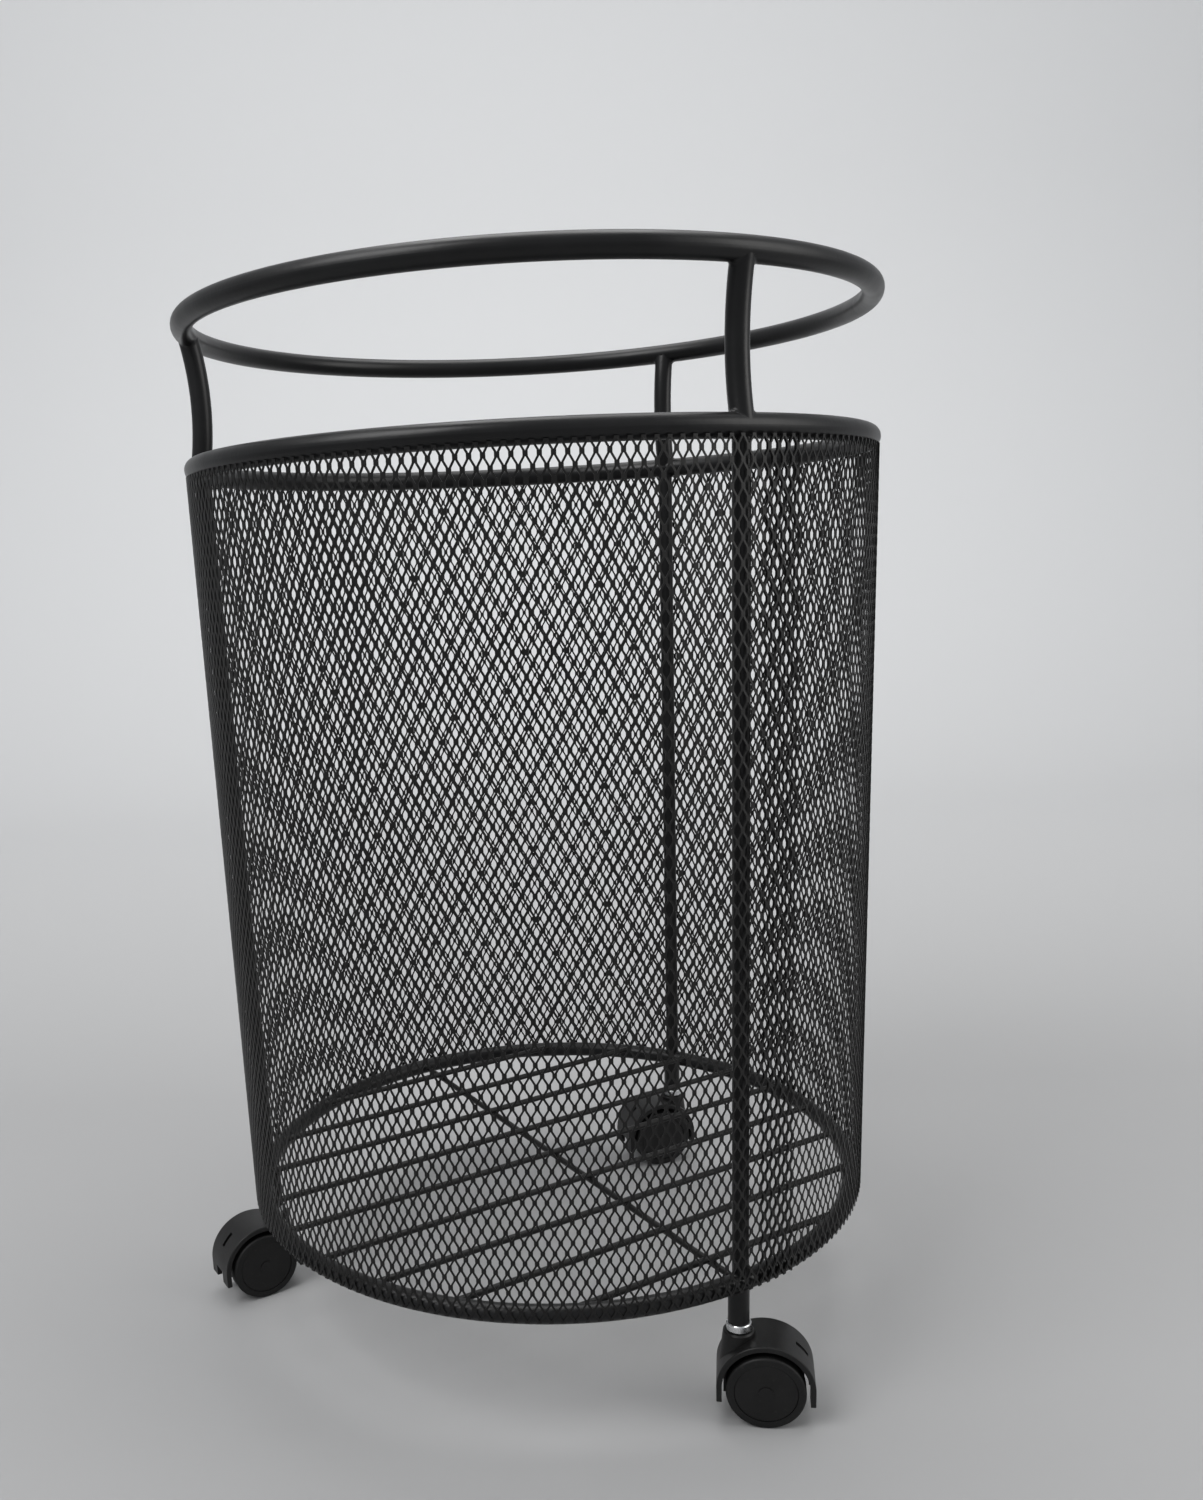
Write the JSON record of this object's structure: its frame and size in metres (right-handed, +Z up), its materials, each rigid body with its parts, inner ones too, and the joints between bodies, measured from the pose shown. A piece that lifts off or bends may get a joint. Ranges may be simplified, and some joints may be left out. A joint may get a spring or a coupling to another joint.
{
  "type": "rolling laundry basket",
  "caption": "Tall round laundry basket of black steel mesh on swivel castors, with a wire floor grid and an open top ring raised on legs above the mesh.",
  "frame": {"origin": "on the basket's axis, at the level of the floor that the wheels stand on", "axes": "+Z up along the basket's axis; +X roughly away from the left leg, between the front leg and the rear leg; +Y towards the rear leg's side"},
  "size_m": [0.4345, 0.4, 0.612],
  "materials": {
    "tube_coat": "satin black powder coat",
    "wire_coat": "satin black powder coat",
    "mesh_coat": "satin black powder coat",
    "hood_plastic": "fine moulded grain",
    "wheel_nylon": "moulded, scuffed on the tread",
    "cap_plastic": "smooth moulded",
    "socket_plastic": "moulded",
    "collar_steel": "zinc plated, bright",
    "stem_steel": "zinc plated"
  },
  "bodies": {
    "basket": {"top_ring": "tube_coat", "rim_ring": "tube_coat", "floor_ring": "tube_coat", "grid_wires": "wire_coat", "grid_cross_wire": "wire_coat", "mesh_wall": "mesh_coat", "leg_front": "tube_coat", "post_front": "tube_coat", "foot_tube_front": "tube_coat", "castor_socket_front": "socket_plastic", "stem_front": "stem_steel", "grip_ring_front": "stem_steel", "collar_front": "collar_steel", "leg_rear": "tube_coat", "post_rear": "tube_coat", "foot_tube_rear": "tube_coat", "castor_socket_rear": "socket_plastic", "stem_rear": "stem_steel", "grip_ring_rear": "stem_steel", "collar_rear": "collar_steel", "leg_left": "tube_coat", "post_left": "tube_coat", "foot_tube_left": "tube_coat", "castor_socket_left": "socket_plastic", "stem_left": "stem_steel", "grip_ring_left": "stem_steel", "collar_left": "collar_steel"},
    "castor_front": {"hood_front": "hood_plastic", "axle_front": "stem_steel"},
    "wheel_a_front": {"wheel_a_front": "wheel_nylon", "wheel_cap_a_front": "cap_plastic"},
    "wheel_b_front": {"wheel_b_front": "wheel_nylon", "wheel_cap_b_front": "cap_plastic"},
    "castor_rear": {"hood_rear": "hood_plastic", "axle_rear": "stem_steel"},
    "wheel_a_rear": {"wheel_a_rear": "wheel_nylon", "wheel_cap_a_rear": "cap_plastic"},
    "wheel_b_rear": {"wheel_b_rear": "wheel_nylon", "wheel_cap_b_rear": "cap_plastic"},
    "castor_left": {"hood_left": "hood_plastic", "axle_left": "stem_steel"},
    "wheel_a_left": {"wheel_a_left": "wheel_nylon", "wheel_cap_a_left": "cap_plastic"},
    "wheel_b_left": {"wheel_b_left": "wheel_nylon", "wheel_cap_b_left": "cap_plastic"}
  },
  "joints": [
    {"name": "swivel_front", "type": "hinge", "parent": "basket", "child": "castor_front", "pos_m": [0.0992, -0.1638, 0.0518], "axis": [0, 0, 1], "continuous": true},
    {"name": "roll_a_front", "type": "hinge", "parent": "castor_front", "child": "wheel_a_front", "pos_m": [0.11386, -0.16586, 0.022], "axis": [0.1392, 0.9903, 0], "continuous": true},
    {"name": "roll_b_front", "type": "hinge", "parent": "castor_front", "child": "wheel_b_front", "pos_m": [0.11386, -0.16586, 0.022], "axis": [0.1392, 0.9903, 0], "continuous": true},
    {"name": "swivel_rear", "type": "hinge", "parent": "basket", "child": "castor_rear", "pos_m": [0.09575, 0.16584, 0.0518], "axis": [0, 0, 1], "continuous": true},
    {"name": "roll_a_rear", "type": "hinge", "parent": "castor_rear", "child": "wheel_a_rear", "pos_m": [0.08167, 0.16127, 0.022], "axis": [0.309, -0.9511, 0], "continuous": true},
    {"name": "roll_b_rear", "type": "hinge", "parent": "castor_rear", "child": "wheel_b_rear", "pos_m": [0.08167, 0.16127, 0.022], "axis": [0.309, -0.9511, 0], "continuous": true},
    {"name": "swivel_left", "type": "hinge", "parent": "basket", "child": "castor_left", "pos_m": [-0.19112, -0.01202, 0.0518], "axis": [0, 0, 1], "continuous": true},
    {"name": "roll_a_left", "type": "hinge", "parent": "castor_left", "child": "wheel_a_left", "pos_m": [-0.20367, -0.01987, 0.022], "axis": [0.5299, -0.848, 0], "continuous": true},
    {"name": "roll_b_left", "type": "hinge", "parent": "castor_left", "child": "wheel_b_left", "pos_m": [-0.20367, -0.01987, 0.022], "axis": [0.5299, -0.848, 0], "continuous": true}
  ]
}
